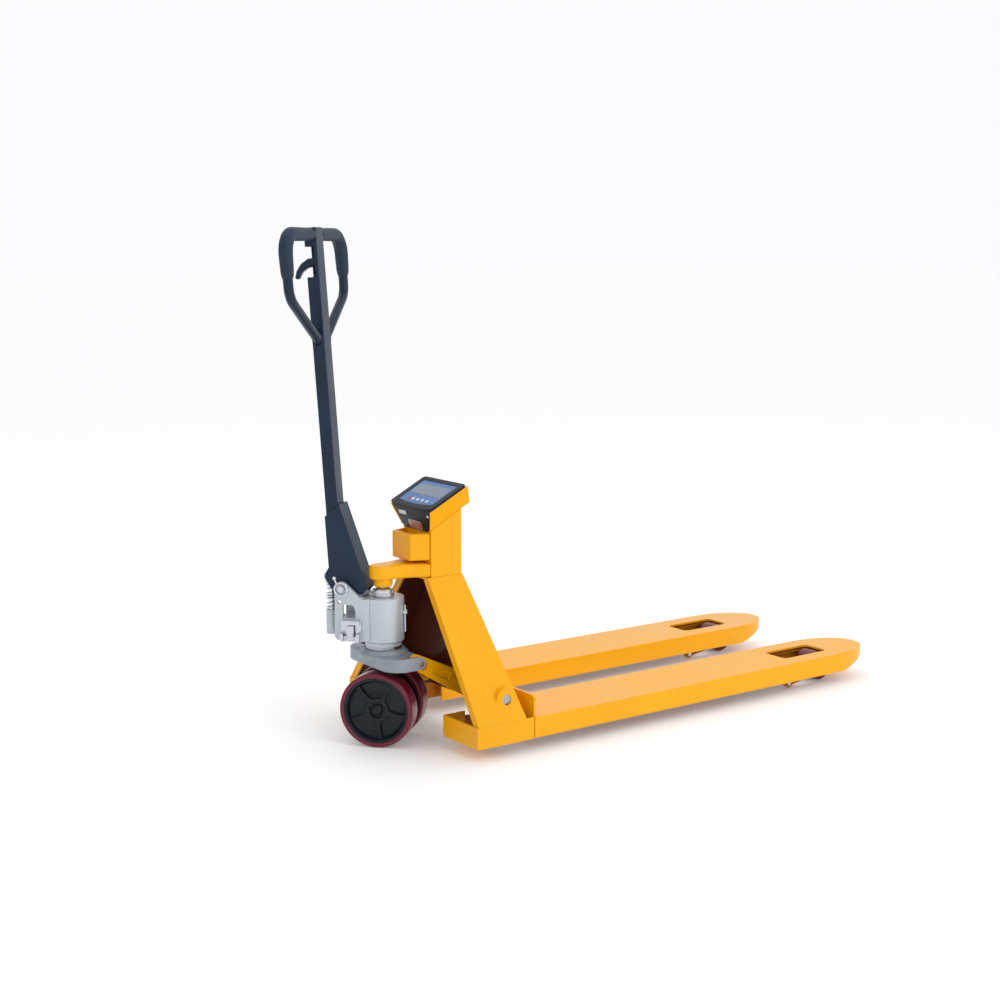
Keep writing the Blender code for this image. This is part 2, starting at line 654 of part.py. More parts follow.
def crosshead():
    """The cast bar that the pump turns in; its lugs hold the lift arms' pins."""
    origin = (RAM_X, 0, 0)
    outline = arc(-74, 66, 46, 180, 90, 5)
    outline += [(LINK_PIN_X, 112), (LINK_PIN_X, 97.5), (-80, 97.5), (-80, 82), (-30, 76),
                (-30, -76), (-80, -82), (-80, -97.5), (LINK_PIN_X, -97.5), (LINK_PIN_X, -112)]
    outline += arc(-74, -66, 46, 270, 180, 5)
    bar = round_edges(plate("bar", "XY", outline, (190, 221)), 3.0, 1, 30)
    boss = turned("boss", [(0, 229), (50, 229), (60, 219), (60, 206), (0, 206)],
                  (RAM_X, 0, 0))
    parts = [bar, boss]
    for sign in SIDES.values():
        low, high = sorted((sign * 98, sign * 111))
        lug = [(-70, 191.5), (-70, 218)]
        lug += arc(LINK_PIN_X, LINK_PIN_Z, 14.5, 80, -90, 7)
        parts.append(plate("lug", "XZ", lug, (low, high)))
    body = joined(*parts)
    bore = cylinder("bore", (RAM_X, 0, 150), (RAM_X, 0, 260), 25.3)
    pins = [cylinder("pin", (LINK_PIN_X, sign * 90, LINK_PIN_Z),
                     (LINK_PIN_X, sign * 120, LINK_PIN_Z), 8.3) for sign in SIDES.values()]
    body = cut(body, bore, *pins)
    finish(body, "crosshead", material("crosshead", (0.2, 0.25, 0.29), 0.5, 0.6), lift_axis,
           origin)
    for side, sign in SIDES.items():
        pin = cylinder("pin", (LINK_PIN_X, sign * 82, LINK_PIN_Z),
                       (LINK_PIN_X, sign * 113, LINK_PIN_Z), 8)
        name = f"link_pin_{side}"
        finish(pin, name, material(name, STEEL, 0.3, 1.0), lift_axis, origin)
    bearing = turned("bearing", [(26, 236.7), (44, 236.7), (44, 229.3), (26, 229.3)],
                     (RAM_X, 0, 0), ring=True)
    finish(bearing, "thrust_bearing", material("thrust_bearing", STEEL, 0.25, 1.0), lift_axis,
           origin)


# Steering unit: made straight ahead about the ram's axis and turned by its empty --------------

def ear_outline():
    """Side view of a pump cheek: (x, z) with x towards the forks."""
    points = arc(-PIN_REACH, PIN_Z, 17, 180, 35, 8)
    points += [(-40, 353), (-20, 353), (-20, 252), (-100, 252), (-107, 260), (-106, 340)]
    return points


def pump():
    """The hydraulic unit's casting: ram cylinder, two cheeks, reservoir and plunger barrel."""
    bore = RAM_RADIUS + GAP
    barrel = turned("barrel", [(0, 252), (bore, 252), (bore, 353.7), (50, 353.7), (50, 250),
                               (44, 246), (44, 237), (0, 237)], segments=30)
    parts = [barrel]
    hole = arc(-PIN_REACH, PIN_Z, 8.3, 0, 345, 15)
    eyelet = arc(-95, 344, 4.5, 0, 330, 11)
    window = [(-86, 338), (-62, 338), (-56, 330), (-53, 306), (-86, 306)]
    for sign in SIDES.values():
        low, high = sorted((sign * 38.5, sign * 47))
        parts.append(plate("cheek", "XZ", ear_outline(), (low, high), (hole, eyelet, window)))
    parts.append(box("reservoir", (-104, -30), (-44, 44), (254, 300)))
    parts.append(cylinder("housing", (PLUNGER_X, 0, 257), (PLUNGER_X, 0, 316), 14))
    parts.append(box("web", (-128, -100), (-9, 9), (258, 304)))
    body = joined(*parts)
    body = cut(body, cylinder("bore", (PLUNGER_X, 0, 262), (PLUNGER_X, 0, 330), 8.5))
    finish(body, "pump", material("pump", SILVER, 0.35, 0.7), steer_axis)
    gland = turned("gland", [(bore, 373), (22, 373), (26, 369), (26, 358), (23, 354),
                             (bore, 354)], ring=True)
    finish(gland, "gland_nut", material("gland_nut", SILVER, 0.25, 1.0), steer_axis)
    plug = joined(cylinder("plug", (50.3, 0, 318), (60, 0, 318), 6, segments=6),
                  cylinder("rod", (54, 0, 270), (54, 0, 335), 2.5, segments=12))
    finish(plug, "oil_plug", material("oil_plug", SILVER, 0.25, 1.0), steer_axis)


def axle_carrier():
    """The spindle under the pump, turned in the crosshead, and the block on the axle."""
    stem = turned("stem", [(0, 236.7), (24.4, 236.7), (24.4, 189), (36, 188), (36, 184),
                           (18.5, 182), (18.5, 120), (0, 120)])
    block = frustum("block", (-24, 24, -19, 19, 70), (-26, 26, -19, 19, 150))
    nose = cylinder("nose", (0, -19.4, 90), (0, 19.4, 90), 24)
    body = joined(stem, block, nose)
    body = cut(body, cylinder("bore", (0, -40, 90), (0, 40, 90), 10 + GAP))
    finish(body, "axle_carrier", material("axle_carrier", (0.2, 0.25, 0.29), 0.5, 0.6),
           steer_axis)
    axle = cylinder("axle", (0, -55, 90), (0, 55, 90), 10)
    finish(axle, "steer_axle", material("steer_axle", STEEL, 0.3, 1.0), steer_axis)


def steer_wheel(side, sign, spin):
    """A tread ring on a dished centre with a domed cap over its bearing."""
    half = WHEEL_WIDTH / 2
    outer = STEER_WHEEL_RADIUS
    tread = [(79.3, half), (86, half), (outer, half - 5), (outer, 5 - half), (86, -half),
             (79.3, -half)]
    axis = "Y" if sign > 0 else "-Y"
    name = f"wheel_tread_{side}"
    finish(turned("tread", tread, axis=axis, segments=32, ring=True), name,
           material(name, BURGUNDY, 0.3, 0.0), spin)
    profile = [(0, 19), (8, 18), (14, 13), (15, 10), (24, 10), (26, 15), (30, 15), (33, 7),
               (70, 5), (74, half - 3), (78.5, half - 2), (78.5, 2 - half), (74, 2 - half),
               (70, -9), (30, -12), (24, -21), (10.5, -21), (10.5, 9.5), (0, 9.5)]
    centre = turned("centre", profile, axis=axis, segments=24)
    name = f"wheel_centre_{side}"
    finish(centre, name, material(name, BLACK, 0.45, 0.0), spin)


def pivot_pin():
    """The handle's cross pin with its ring clip."""
    pin = cylinder("pin", (-PIN_REACH, -54, PIN_Z), (-PIN_REACH, 51, PIN_Z), 8)
    finish(pin, "handle_pin", material("handle_pin", SILVER, 0.25, 1.0), steer_axis)
    ring = turned("ring", [(13.2, 0), (15.5, 2.4), (17.8, 0), (15.5, -2.4)],
                  (-PIN_REACH, -50.5, PIN_Z), axis="Y", segments=20, ring=True)
    bar = cylinder("bar", (-PIN_REACH - 17, -50.5, PIN_Z + 6), (-PIN_REACH - 11, -50.5, PIN_Z),
                   1.8, segments=10)
    ball = cylinder("ball", (-PIN_REACH - 11, -50.5, PIN_Z + 12),
                    (-PIN_REACH - 15, -50.5, PIN_Z + 26), 2.2, 4.5, segments=12)
    clip = joined(ring, bar, ball)
    finish(clip, "ring_clip", material("ring_clip", SILVER, 0.2, 1.0), steer_axis)


def valve_bracket():
    """A forked bracket on the pump's side for the release lever."""
    outline = [(-90, 250), (-40, 250), (-40, 304), (-90, 304)]
    plate_back = plate("back", "XZ", outline, (-50, -47 - GAP))
    ears = [box("ear", (low, high), (-64, -49), (252, 272)) for low, high in
            ((-89, -81), (-49, -41))]
    shroud = box("shroud", (-88, -42), (-58, -49), (292, 302))
    body = joined(plate_back, *ears, shroud)
    finish(body, "valve_bracket", material("valve_bracket", SILVER, 0.35, 0.8), steer_axis)


VALVE_Y = -58.0
VALVE_Z = 262.0


def valve_lever(parent):
    lever = box("lever", (-74, -56), (-61, -55.5), (254, 290))
    pin = cylinder("pin", (-81 + GAP, VALVE_Y, VALVE_Z), (-49 - GAP, VALVE_Y, VALVE_Z), 4,
                   segments=16)
    body = joined(round_edges(lever, 1.5, 1), pin)
    finish(body, "valve_lever", material("valve_lever", SILVER, 0.3, 0.9), parent,
           (-65, VALVE_Y, VALVE_Z))


def plunger():
    """The pump's plunger, its cap and the spring that lifts it and the handle."""
    rod = turned("rod", [(0, 387.7), (13, 387.7), (15, 385), (15, 380.3), (8, 380), (8, 309),
                         (0, 309)])
    finish(rod, "plunger", material("plunger", SILVER, 0.2, 1.0), plunger_axis)
    coils, wire, low, high = 5, 1.7, 316.6, 379.8
    steps = 8 * coils
    points = []
    for step in range(steps + 1):
        angle = 2 * math.pi * step / 8
        height = low + wire + (high - low - 2 * wire) * step / steps
        points.append((12.2 * math.cos(angle), 12.2 * math.sin(angle), height))
    spring = tube("spring", points, wire, 0)
    finish(spring, "plunger_spring", material("plunger_spring", SILVER, 0.25, 1.0),
           plunger_axis)


# Handle: made upright about its pivot and leaned back by its empty ----------------------------

def yoke():
    """The folded channel at the handle's foot."""
    outline = [(-33, 172), (-33, 50), (-42, 36), (-44, 22), (-38, 12), (-28, -6), (0, -17),
               (46, -18), (60, -4), (5, 199)]
    hole = arc(0, 0, 8.3, 0, 345, 15)
    parts = [plate("side", "XZ", outline, span, (hole,))
             for span in ((-30.5, -25.5), (25.5, 30.5))]
    web = [(-0.4, 198.6), (4.7, 198.6), (59.6, -3.8), (54.2, -3.8)]
    parts.append(plate("web", "XZ", web, (-28, 28)))
    parts.append(cylinder("pin", (-40, -32, 27), (-40, 32, 27), 4, segments=16))
    body = joined(*parts)
    finish(body, "yoke", dark_coat_for("yoke"), handle_axis)
    roller = turned("roller", [(4.4, 20), (11, 20), (11, -20), (4.4, -20)], (-40, 0, 27),
                    axis="Y", segments=18, ring=True)
    finish(roller, "press_roller", material("press_roller", STEEL, 0.3, 1.0), handle_axis)


def dark_coat_for(name):
    return material(name, COATED, 0.45, 0.0)


SHAFT_LOW = 60.0
SHAFT_HIGH = 848.0
TRIGGER_X = -14.0
TRIGGER_Z = 770.0


def shaft():
    """The rectangular shaft tube, cut open at the top for the release lever."""
    x = -SHAFT_OFFSET
    low = 158.0
    body = round_edges(box("shaft", (x - 15, x + 15), (-25, 25), (low, SHAFT_HIGH)), 2.5, 2)
    inside = box("inside", (x - 12, x + 12), (-22, 22), (low - 20, SHAFT_HIGH - 34))
    mouth = box("mouth", (x - 30, x + 7), (-40, 19.5), (734, 804))
    body = cut(body, inside, mouth)
    body = cut(body, cylinder("bar_hole", (x, -40, LOOP_TOP), (x, 40, LOOP_TOP),
                              TUBE_RADIUS + GAP))
    finish(body, "shaft", dark_coat_for("shaft"), handle_axis)


def loop_path():
    x = -SHAFT_OFFSET
    corners = [(x, 10, 579), (x, LOOP_HALF, 690), (x, LOOP_HALF, LOOP_TOP),
               (x, -LOOP_HALF, LOOP_TOP), (x, -LOOP_HALF, 690), (x, -10, 579)]
    return rounded_path(corners, 48.0, 5)


def loop_and_grips():
    """One bent tube, welded to the shaft, with a thick rubber sleeve on each half."""
    path = loop_path()
    loop = tube("loop", path, TUBE_RADIUS, 3)
    trim = [box("trim", (-60, 20), (-25.3, 25.3), (560, 700))]
    loop = cut(loop, *trim)
    finish(loop, "loop_tube", dark_coat_for("loop_tube"), handle_axis)
    for side, sign in SIDES.items():
        x = -SHAFT_OFFSET
        corners = [(x, sign * LOOP_HALF, 733), (x, sign * LOOP_HALF, LOOP_TOP),
                   (x, sign * 26, LOOP_TOP)]
        sleeve = tube("sleeve", rounded_path(corners, 48.0, 5), GRIP_RADIUS, 3)
        longer = [(x, sign * LOOP_HALF, 715), (x, sign * LOOP_HALF, LOOP_TOP),
                  (x, sign * 10, LOOP_TOP)]
        bore = tube("bore", rounded_path(longer, 48.0, 5), TUBE_RADIUS + 0.6, 3)
        sleeve = cut(sleeve, bore)
        name = f"grip_{side}"
        finish(sleeve, name, material(name, BLACK, 0.6, 0.0), handle_axis)


def trigger(parent):
    """The curved finger lever that releases the pump."""
    x, z = TRIGGER_X, TRIGGER_Z
    outline = [(x + 6, z + 9), (x + 7, z - 6), (x - 6, z - 12), (x - 22, z - 15),
               (x - 36, z - 24), (x - 46, z - 40), (x - 53, z - 37), (x - 48, z - 20),
               (x - 36, z - 4), (x - 18, z + 7)]
    body = round_edges(plate("lever", "XZ", outline, (-9, 9)), 2.0, 1, 60)
    stub = cylinder("stub", (x, -21, z), (x, 21, z), 5, segments=20)
    body = joined(body, stub)
    finish(body, "release_lever", dark_coat_for("release_lever"), parent, (x, 0, z))


# Assembly ------------------------------------------------------------------------------------

for side_name, side_sign in SIDES.items():
    weigh_shell(side_name, side_sign)
    lower_fork(side_name, side_sign)
    for cell_index, cell_x in enumerate(CELL_X, start=1):
        load_cell(side_name, side_sign, cell_index, cell_x)
    foot(side_name, side_sign)
    lift_arm(side_name, side_sign)
    fork_y = side_sign * FORK_Y
    fork_axis = joint_empty(f"roller_fork_axis_{side_name}", truck,
                            (ROLLER_PIVOT_X, fork_y, ROLLER_PIVOT_Z))
    spin_axis = joint_empty(f"load_roller_axis_{side_name}", fork_axis,
                            (ROLLER_X - ROLLER_PIVOT_X, 0, ROLLER_RADIUS - ROLLER_PIVOT_Z))
    roller_fork(side_name, side_sign, fork_axis)
    roller_parts(side_name, side_sign, fork_axis, spin_axis)
    rear_x = SHAFT_X - ROCKER_LEVER * math.sin(math.radians(LEVER_LEAN))
    rear_z = SHAFT_Z - ROCKER_LEVER * math.cos(math.radians(LEVER_LEAN))
    front_x = ROLLER_PIVOT_X - ROLLER_LEVER * math.sin(math.radians(LUG_LEAN))
    front_z = ROLLER_PIVOT_Z + ROLLER_LEVER * math.cos(math.radians(LUG_LEAN))
    rod_axis = joint_empty(f"push_rod_axis_{side_name}", rocker_axis,
                           (rear_x - SHAFT_X, fork_y, rear_z - SHAFT_Z))
    push_rod(side_name, side_sign, rod_axis, (rear_x, fork_y, rear_z), (front_x, front_z))
    wheel_axis = joint_empty(f"wheel_axis_{side_name}", steer_axis,
                             (0, side_sign * WHEEL_OFFSET, STEER_WHEEL_RADIUS))
    steer_wheel(side_name, side_sign, wheel_axis)

base_shaft()
frame()
horn()
column()
cradle()
indicator()
printer_box()
crosshead()
pump()
axle_carrier()
pivot_pin()
valve_bracket()
valve_axis = joint_empty("valve_axis", steer_axis, (-65, VALVE_Y, VALVE_Z))
valve_lever(valve_axis)
plunger_axis = joint_empty("plunger_axis", steer_axis, (PLUNGER_X, 0, 0))
plunger()
yoke()
shaft()
loop_and_grips()
trigger_axis = joint_empty("trigger_axis", handle_axis, (TRIGGER_X, 0, TRIGGER_Z))
trigger(trigger_axis)
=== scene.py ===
# %% [markdown]
# # A hand pallet truck that weighs its load
# The truck's solids were modelled first, as CAD, and packed with their joints. This lesson puts
# the looks around them: it keeps the CAD pieces that already have the right shape, rounds their
# edges, gives every surface a finish, and builds finer pieces where the CAD is coarse.
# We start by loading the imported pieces. Each one arrives as its own object, riding on its body.

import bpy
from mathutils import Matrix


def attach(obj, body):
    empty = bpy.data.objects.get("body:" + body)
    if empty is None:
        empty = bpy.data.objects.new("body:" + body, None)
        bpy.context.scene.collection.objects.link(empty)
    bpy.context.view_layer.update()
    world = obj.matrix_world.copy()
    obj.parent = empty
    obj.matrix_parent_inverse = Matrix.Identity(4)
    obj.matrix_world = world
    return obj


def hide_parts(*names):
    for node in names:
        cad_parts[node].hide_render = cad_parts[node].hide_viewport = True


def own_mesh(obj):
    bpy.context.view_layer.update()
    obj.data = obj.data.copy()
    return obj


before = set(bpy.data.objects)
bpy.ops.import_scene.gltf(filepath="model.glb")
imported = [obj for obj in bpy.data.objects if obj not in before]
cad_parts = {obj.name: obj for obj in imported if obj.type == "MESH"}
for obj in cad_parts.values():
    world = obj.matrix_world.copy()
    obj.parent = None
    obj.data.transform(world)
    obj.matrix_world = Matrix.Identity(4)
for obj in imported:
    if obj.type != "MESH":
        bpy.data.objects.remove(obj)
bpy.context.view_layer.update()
print("CAD nodes:", len(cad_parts))

# %% [markdown]
# ## Places to work from
# The makers of the truck measured it in millimetres, so this script does too. A few local frames
# save a lot of trigonometry: the truck itself, the steering unit that is turned by 49 degrees,
# the pull handle that leans back by 3.8 degrees, the indicator's face, tilted by 27.2, the
# steep panel under that face, and one frame for each steering wheel.

# %% Local frames
import math

import bmesh
import bpy
from mathutils import Matrix, Vector

MM = Matrix.Scale(0.001, 4)
FRONT_X = -509.3
RAM_X = -73
STEER_ANGLE = -49
HANDLE_PIVOT = (-89, 0, 376)
HANDLE_LEAN = -3.8
FACE_CORNER = (6.2, 0, 560.3)
FACE_TILT = -27.2
PANEL_CORNER = (6.4, 0, 559.6)
PANEL_TILT = -106.5
WHEEL_Y, WHEEL_Z = 46, 90


def turn(angle, axis):
    return Matrix.Rotation(math.radians(angle), 4, axis)


def shift(x, y, z):
    return Matrix.Translation((x, y, z))


TRUCK = MM @ shift(FRONT_X, 0, 0)
AT_RAM = TRUCK @ shift(RAM_X, 0, 0)
STEER = AT_RAM @ turn(STEER_ANGLE, "Z")
HANDLE = STEER @ shift(*HANDLE_PIVOT) @ turn(HANDLE_LEAN, "Y")
FACE = TRUCK @ shift(*FACE_CORNER) @ turn(FACE_TILT, "Y")
PANEL = TRUCK @ shift(*PANEL_CORNER) @ turn(PANEL_TILT, "Y") @ turn(180, "Z")
WHEEL = {"right": STEER @ shift(0, -WHEEL_Y, WHEEL_Z) @ turn(90, "X"),
         "left": STEER @ shift(0, WHEEL_Y, WHEEL_Z) @ turn(-90, "X")}
print("handle pivot at", [round(v, 4) for v in HANDLE.to_translation()])

# %% [markdown]
# ## Effects that several finishes share
# Real paint is never one flat colour. Three small node groups give the variation: a soft cloud
# of tone, a fine grain for the bump, and a mask that finds edges where paint wears thin. The
# edge mask compares the true normal with one smoothed by the Bevel node: they differ only
# near an edge.

# %% Node groups
def new_group(name, inputs, output):
    group = bpy.data.node_groups.new(name, "ShaderNodeTree")
    for label, value in inputs.items():
        socket = group.interface.new_socket(label, in_out="INPUT", socket_type="NodeSocketFloat")
        socket.default_value = value
    group.interface.new_socket(output, in_out="OUTPUT", socket_type="NodeSocketFloat")
    enter = group.nodes.new("NodeGroupInput")
    leave = group.nodes.new("NodeGroupOutput")
    return group, enter, leave


def noise_group(name, scale, detail, stretch=(1, 1, 1)):
    group, enter, leave = new_group(name, {"Scale": scale}, "Value")
    place = group.nodes.new("ShaderNodeTexCoord")
    squeeze = group.nodes.new("ShaderNodeMapping")
    squeeze.inputs["Scale"].default_value = stretch
    noise = group.nodes.new("ShaderNodeTexNoise")
    noise.inputs["Detail"].default_value = detail
    group.links.new(place.outputs["Object"], squeeze.inputs["Vector"])
    group.links.new(squeeze.outputs["Vector"], noise.inputs["Vector"])
    group.links.new(enter.outputs["Scale"], noise.inputs["Scale"])
    group.links.new(noise.outputs["Fac"], leave.inputs["Value"])
    return group


def edge_group():
    group, enter, leave = new_group("worn_edges", {"Radius": 0.002}, "Value")
    soft = group.nodes.new("ShaderNodeBevel")
    soft.samples = 4
    true = group.nodes.new("ShaderNodeNewGeometry")
    dot = group.nodes.new("ShaderNodeVectorMath")
    dot.operation = "DOT_PRODUCT"
    ramp = group.nodes.new("ShaderNodeMapRange")
    ramp.inputs["From Min"].default_value = 0.985
    ramp.inputs["From Max"].default_value = 0.88
    place = group.nodes.new("ShaderNodeTexCoord")
    chips = group.nodes.new("ShaderNodeTexNoise")
    chips.inputs["Scale"].default_value = 70
    chips.inputs["Detail"].default_value = 4
    pick = group.nodes.new("ShaderNodeMapRange")
    pick.inputs["From Min"].default_value = 0.46
    pick.inputs["From Max"].default_value = 0.62
    both = group.nodes.new("ShaderNodeMath")
    both.operation = "MULTIPLY"
    group.links.new(enter.outputs["Radius"], soft.inputs["Radius"])
    group.links.new(soft.outputs["Normal"], dot.inputs[0])
    group.links.new(true.outputs["Normal"], dot.inputs[1])
    group.links.new(dot.outputs["Value"], ramp.inputs["Value"])
    group.links.new(place.outputs["Object"], chips.inputs["Vector"])
    group.links.new(chips.outputs["Fac"], pick.inputs["Value"])
    group.links.new(ramp.outputs["Result"], both.inputs[0])
    group.links.new(pick.outputs["Result"], both.inputs[1])
    group.links.new(both.outputs["Value"], leave.inputs["Value"])
    return group


cloud = noise_group("tone_cloud", 6, 5)
grain = noise_group("fine_grain", 400, 2)
brushed = noise_group("brushed_lines", 60, 4, (1, 1, 30))
worn_edges = edge_group()
print("shared groups:", [g.name for g in bpy.data.node_groups])

# %% [markdown]
# ## One recipe for a finish
# Every finish on the truck has the same parts: a base colour that drifts a little with the
# cloud, a second colour that shows where edges wear, a roughness that varies, and a bump. So
# one function builds them all, and each finish is a line of values. Numbers that are the same
# all over, such as the coat's roughness, are set on the Principled shader itself.
# The frame gets one finish more, with painted shade: between its side plates, where the inside
# lies in shade, its yellow is turned dark brown, so its finish is a copy of the yellow one with a
# second colour inside four planes.

# %% Finishes
def finish_of(name, colour, worn, rough, spread=0.08, metal=0.0, coat=0.0, tone=0.12, wear=0.5,
              bump=0.05, grain_scale=400, pattern=grain, coat_rough=0.08, specular=0.5):
    mat = bpy.data.materials.new(name)
    mat.use_nodes = True
    mat.diffuse_color = (*colour, 1)
    nodes, links = mat.node_tree.nodes, mat.node_tree.links
    shader = nodes["Principled BSDF"]
    shader.inputs["Metallic"].default_value = metal
    shader.inputs["Coat Weight"].default_value = coat
    shader.inputs["Specular IOR Level"].default_value = specular
    shader.inputs["Coat Roughness"].default_value = coat_rough

    def placed(group):
        node = nodes.new("ShaderNodeGroup")
        node.node_tree = group
        return node

    drift = placed(cloud)
    fine = placed(pattern)
    fine.inputs["Scale"].default_value = grain_scale
    tones = nodes.new("ShaderNodeValToRGB")
    tones.color_ramp.elements[0].position = 0.3
    tones.color_ramp.elements[1].position = 0.7
    tones.color_ramp.elements[0].color = (*[c * (1 - tone) for c in colour], 1)
    tones.color_ramp.elements[1].color = (*[min(1, c * (1 + tone)) for c in colour], 1)
    links.new(drift.outputs["Value"], tones.inputs["Fac"])
    result = tones.outputs["Color"]
    if wear > 0:
        edge = placed(worn_edges)
        edge.inputs["Radius"].default_value = 0.0016
        amount = nodes.new("ShaderNodeMath")
        amount.operation = "MULTIPLY"
        amount.inputs[1].default_value = wear
        blend = nodes.new("ShaderNodeMix")
        blend.data_type = "RGBA"
        blend.inputs["B"].default_value = (*worn, 1)
        links.new(edge.outputs["Value"], amount.inputs[0])
        links.new(amount.outputs["Value"], blend.inputs["Factor"])
        links.new(result, blend.inputs["A"])
        result = blend.outputs["Result"]
    links.new(result, shader.inputs["Base Color"])
    level = nodes.new("ShaderNodeMapRange")
    level.inputs["From Min"].default_value = 0.3
    level.inputs["From Max"].default_value = 0.7
    level.inputs["To Min"].default_value = max(0.02, rough - spread)
    level.inputs["To Max"].default_value = rough + spread
    links.new(drift.outputs["Value"], level.inputs["Value"])
    links.new(level.outputs["Result"], shader.inputs["Roughness"])
    lift = nodes.new("ShaderNodeBump")
    lift.inputs["Strength"].default_value = bump
    lift.inputs["Distance"].default_value = 0.0005
    links.new(fine.outputs["Value"], lift.inputs["Height"])
    links.new(lift.outputs["Normal"], shader.inputs["Normal"])
    return mat


yellow = finish_of("yellow_powder_coat", (0.93, 0.42, 0.001), (1.0, 0.60, 0.10), 0.30, 0.06,
                   coat=0.06, tone=0.04, wear=0.3, bump=0.05, grain_scale=260, specular=0.22)
# Painted shade: a darker copy of the yellow paint for the lower forks and roller forks, which sit
# in shade under the forks.
yellow_painted_shade = finish_of("yellow_painted_shade_coat", (0.42, 0.15, 0.004), (0.8, 0.45, 0.1), 0.45,
                         tone=0.12, bump=0.15, specular=0.25)
dark_coat = finish_of("blue_grey_coat", (0.012, 0.026, 0.052), (0.10, 0.15, 0.22), 0.36, 0.08,
                      tone=0.18, coat=0.02, specular=0.22, coat_rough=0.2, wear=0.5,
                      bump=0.16)
black_plastic = finish_of("black_moulding", (0.005, 0.009, 0.015), (0.05, 0.06, 0.08), 0.42,
                          specular=0.22, tone=0.2, wear=0.4, bump=0.2, grain_scale=900)
nylon = finish_of("black_nylon", (0.005, 0.009, 0.014), (0.05, 0.06, 0.08), 0.36, 0.1,
                   specular=0.3,
                  tone=0.25, wear=0.5, bump=0.2, grain_scale=500)
grip_rubber = finish_of("grip_rubber", (0.018, 0.034, 0.060), (0.05, 0.06, 0.07), 0.55, 0.08,
                        specular=0.25, tone=0.2, wear=0.2, bump=0.45, grain_scale=1300)
tread_finish = finish_of("burgundy_polyurethane", (0.15, 0.008, 0.024), (0.32, 0.06, 0.09),
                         0.28, 0.08, coat=0.15, specular=0.35, coat_rough=0.2, tone=0.18,
                         wear=0.2, bump=0.08)
enamel = finish_of("silver_enamel", (0.52, 0.56, 0.60), (0.75, 0.76, 0.78), 0.36, 0.08,
                   metal=0.35, tone=0.08, wear=0.5, bump=0.35, grain_scale=300)
grey_iron = finish_of("grey_casting_enamel", (0.30, 0.34, 0.38), (0.52, 0.55, 0.58), 0.42,
                      0.08, metal=0.25, tone=0.14, wear=0.5, bump=0.5, grain_scale=220)
zinc = finish_of("zinc_plate", (0.60, 0.63, 0.66), (0.85, 0.86, 0.88), 0.26, 0.08, metal=1.0,
                 tone=0.1, wear=0.3, bump=0.12, grain_scale=60, pattern=brushed)
steel = finish_of("ground_steel", (0.42, 0.43, 0.45), (0.7, 0.71, 0.72), 0.3, 0.1, metal=1.0,
                  tone=0.15, wear=0.3, bump=0.15, grain_scale=60, pattern=brushed)
chrome = finish_of("polished_steel", (0.72, 0.73, 0.75), (0.9, 0.9, 0.9), 0.12, 0.04, metal=1.0,
                   tone=0.05, wear=0.0, bump=0.04, grain_scale=60, pattern=brushed)
film = finish_of("keypad_film", (0.045, 0.16, 0.43), (0.1, 0.25, 0.5), 0.32, 0.05, tone=0.06,
                 wear=0.0, bump=0.06, grain_scale=900)
window = finish_of("display_window", (0.11, 0.16, 0.25), (0.2, 0.2, 0.2), 0.14, 0.04, coat=0.6,
                   tone=0.06, wear=0.0, bump=0.01)
white_print = finish_of("white_print", (0.72, 0.74, 0.74), (0.8, 0.8, 0.8), 0.5, 0.05,
                        tone=0.05, wear=0.0, bump=0.05)
red_print = finish_of("red_print", (0.55, 0.07, 0.04), (0.6, 0.1, 0.1), 0.45, 0.05, tone=0.08,
                      wear=0.0, bump=0.05)
silver_print = finish_of("silver_print", (0.45, 0.47, 0.49), (0.5, 0.5, 0.5), 0.35, 0.05,
                         metal=0.5, tone=0.05, wear=0.0, bump=0.05)
amber_print = finish_of("amber_print", (0.8, 0.62, 0.2), (0.8, 0.6, 0.2), 0.45, 0.05,
                        tone=0.08, wear=0.0, bump=0.05)


def painted_shade_inside(name, source, colour):
    """A copy of a finish with painted shade: it turns dark brown between the frame's side plates.
    """
    mat = source.copy()
    mat.name = name
    nodes, links = mat.node_tree.nodes, mat.node_tree.links
    place = nodes.new("ShaderNodeTexCoord")
    mirror = nodes.new("ShaderNodeVectorMath")
    mirror.operation = "ABSOLUTE"
    links.new(place.outputs["Object"], mirror.inputs[0])
    mask = None
    planes = [((0, -1, -0.7243), -0.3426), ((1, 0, -0.0831), 0.3654),
              ((-1, 0, -0.0352), -0.5026), ((0, 0, -1), -0.390)]
    for normal, level in planes:
        dot = nodes.new("ShaderNodeVectorMath")
        dot.operation = "DOT_PRODUCT"
        dot.inputs[1].default_value = normal
        beyond = nodes.new("ShaderNodeMath")
        beyond.operation = "GREATER_THAN"
        beyond.inputs[1].default_value = level
        links.new(mirror.outputs["Vector"], dot.inputs[0])
        links.new(dot.outputs["Value"], beyond.inputs[0])
        if mask is None:
            mask = beyond.outputs["Value"]
            continue
        both = nodes.new("ShaderNodeMath")
        both.operation = "MULTIPLY"
        links.new(mask, both.inputs[0])
        links.new(beyond.outputs["Value"], both.inputs[1])
        mask = both.outputs["Value"]
    base = nodes["Principled BSDF"].inputs["Base Color"]
    blend = nodes.new("ShaderNodeMix")
    blend.data_type = "RGBA"
    blend.inputs["B"].default_value = (*colour, 1)
    links.new(base.links[0].from_socket, blend.inputs["A"])
    links.new(mask, blend.inputs["Factor"])
    links.new(blend.outputs["Result"], base)
    return mat


# Painted shade: the frame's yellow turns dark brown between its side plates.
frame_painted_shade = painted_shade_inside("yellow_frame_painted_shade", yellow, (0.11, 0.026, 0.014))
print("finishes:", len(bpy.data.materials))

# %% [markdown]
# ## Soft edges on the CAD pieces
# Sheet steel and castings never have razor edges, and a tiny rounding is what catches the light
# and makes a model look solid. The CAD meshes may not be edited, but modifiers are allowed: a
# Weld joins the imported corners, a Bevel rounds the edges, and a small geometry-nodes group
# shades curved walls smooth while it leaves real corners sharp.

